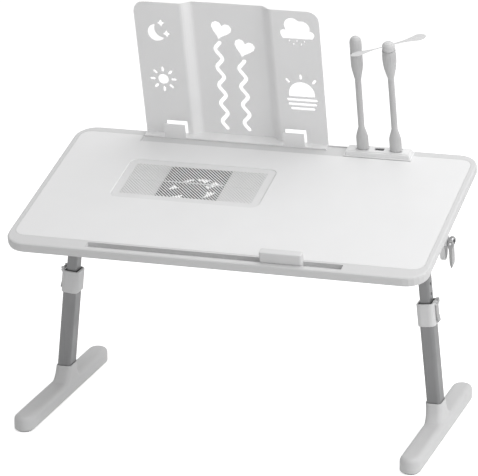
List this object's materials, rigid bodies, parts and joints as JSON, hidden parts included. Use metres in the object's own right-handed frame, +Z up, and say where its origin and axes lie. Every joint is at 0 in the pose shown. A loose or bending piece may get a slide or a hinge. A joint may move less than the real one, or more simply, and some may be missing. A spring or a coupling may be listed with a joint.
{
  "type": "laptop bed table",
  "caption": "Tilting bed table with folding telescopic legs, a vented desk panel, a bookstand, a sliding book stop and a USB hub with plug-in lamp and fan.",
  "frame": {"origin": "on the floor, under the middle of the whole object", "axes": "+X to the right along the table's long side as the user sits, +Y to the rear, away from the user, +Z up"},
  "size_m": [0.6, 0.3266, 0.5709],
  "materials": {
    "rim_plastic": "fine moulded texture",
    "desk_laminate": "smooth satin laminate",
    "white_plastic": "satin moulded",
    "grille_plastic": "satin moulded",
    "grey_plastic": "satin moulded",
    "dark_plastic": "satin moulded",
    "milky_cover": "frosted",
    "silicone": "soft matte",
    "tube_metal": "grey anodised, fine brushed",
    "steel": "plated",
    "rubber": "matte",
    "circuit_board": "lacquered"
  },
  "bodies": {
    "top": {"top_frame": "rim_plastic", "desk_panel": "desk_laminate", "underside_cover": "white_plastic", "vent_grille": "grille_plastic", "cooling_fan_housing": "dark_plastic", "cooling_fan_guard": "steel", "hub_housing": "white_plastic", "usb_port_left": "steel", "usb_port_middle": "steel", "usb_port_right": "steel", "hub_board": "circuit_board", "power_inlet": "steel", "left_bracket_base": "steel", "left_fold_pin": "steel", "left_front_screw": "steel", "left_rear_screw": "steel", "right_bracket_base": "steel", "right_fold_pin": "steel", "right_front_screw": "steel", "right_rear_screw": "steel"},
    "impeller": {"cooling_impeller": "dark_plastic"},
    "stop": {"book_stop": "white_plastic", "book_stop_clip": "grey_plastic"},
    "stand": {"bookstand": "rim_plastic"},
    "lamp": {"lamp_stick": "silicone", "lamp_cover": "milky_cover", "lamp_plug": "steel"},
    "fan": {"fan_stick": "silicone", "fan_plug": "steel", "fan_motor": "steel"},
    "fan_blades": {"propeller": "silicone"},
    "left_bracket": {"left_yoke": "white_plastic", "left_tilt_bolt": "steel", "left_lever_pin": "steel"},
    "left_tilt_handle": {"left_tilt_lever": "grey_plastic"},
    "left_upper_leg": {"left_leg_head": "white_plastic", "left_tilt_disc": "grey_plastic", "left_inner_tube": "tube_metal"},
    "left_lower_leg": {"left_outer_tube": "tube_metal", "left_collar": "white_plastic", "left_collar_pin": "steel", "left_clamp_shoe": "rubber", "left_foot": "rim_plastic", "left_foot_pad": "rubber"},
    "left_clamp_handle": {"left_collar_lever": "grey_plastic"},
    "right_bracket": {"right_yoke": "white_plastic", "right_tilt_bolt": "steel", "right_lever_pin": "steel"},
    "right_tilt_handle": {"right_tilt_lever": "grey_plastic"},
    "right_upper_leg": {"right_leg_head": "white_plastic", "right_tilt_disc": "grey_plastic", "right_inner_tube": "tube_metal"},
    "right_lower_leg": {"right_outer_tube": "tube_metal", "right_collar": "white_plastic", "right_collar_pin": "steel", "right_clamp_shoe": "rubber", "right_foot": "rim_plastic", "right_foot_pad": "rubber"},
    "right_clamp_handle": {"right_collar_lever": "grey_plastic"}
  },
  "joints": [
    {"name": "stop_slide", "type": "slide", "parent": "top", "child": "stop", "axis": [1, 0, 0], "range_m": [-0.249, 0.054]},
    {"name": "stand_lift", "type": "slide", "parent": "top", "child": "stand", "axis": [0, -0.2565, 0.9666], "range_m": [0, 0.01]},
    {"name": "lamp_unplug", "type": "slide", "parent": "top", "child": "lamp", "axis": [0, -0.2565, 0.9666], "range_m": [0, 0.016]},
    {"name": "fan_unplug", "type": "slide", "parent": "top", "child": "fan", "axis": [0, -0.2565, 0.9666], "range_m": [0, 0.016]},
    {"name": "propeller_spin", "type": "hinge", "parent": "fan", "child": "fan_blades", "pos_m": [0.18203, 0.08835, 0.52431], "axis": [0.0177, -0.3465, 0.9379], "continuous": true},
    {"name": "impeller_spin", "type": "hinge", "parent": "top", "child": "impeller", "pos_m": [-0.0835, 0.02566, 0.3291], "axis": [0, -0.2565, 0.9666], "continuous": true},
    {"name": "left_fold", "type": "hinge", "parent": "top", "child": "left_bracket", "pos_m": [-0.243, 0.00458, 0.29764], "axis": [0, -0.9666, -0.2565], "range_deg": [0, 94]},
    {"name": "left_tilt", "type": "hinge", "parent": "left_bracket", "child": "left_upper_leg", "pos_m": [-0.243, 0.009, 0.281], "axis": [1, 0, 0], "range_deg": [-21, 14.86]},
    {"name": "left_height", "type": "slide", "parent": "left_upper_leg", "child": "left_lower_leg", "axis": [0.0991, 0, 0.9951], "range_m": [0, 0.062]},
    {"name": "left_tilt_lever_swing", "type": "hinge", "parent": "left_bracket", "child": "left_tilt_handle", "pos_m": [-0.2944, 0.009, 0.281], "axis": [0, 0.9666, 0.2565], "range_deg": [0, 100]},
    {"name": "left_collar_lever_swing", "type": "hinge", "parent": "left_lower_leg", "child": "left_clamp_handle", "pos_m": [-0.27542, 0.009, 0.19223], "axis": [0, -1, 0], "range_deg": [-80, 0]},
    {"name": "right_fold", "type": "hinge", "parent": "top", "child": "right_bracket", "pos_m": [0.243, 0.00458, 0.29764], "axis": [0, 0.9666, 0.2565], "range_deg": [0, 94]},
    {"name": "right_tilt", "type": "hinge", "parent": "right_bracket", "child": "right_upper_leg", "pos_m": [0.243, 0.009, 0.281], "axis": [1, 0, 0], "range_deg": [-21, 14.86]},
    {"name": "right_height", "type": "slide", "parent": "right_upper_leg", "child": "right_lower_leg", "axis": [-0.0991, 0, 0.9951], "range_m": [0, 0.062]},
    {"name": "right_tilt_lever_swing", "type": "hinge", "parent": "right_bracket", "child": "right_tilt_handle", "pos_m": [0.2944, 0.009, 0.281], "axis": [0, -0.9666, -0.2565], "range_deg": [0, 100]},
    {"name": "right_collar_lever_swing", "type": "hinge", "parent": "right_lower_leg", "child": "right_clamp_handle", "pos_m": [0.27542, 0.009, 0.19223], "axis": [0, 1, 0], "range_deg": [-80, 0]}
  ]
}
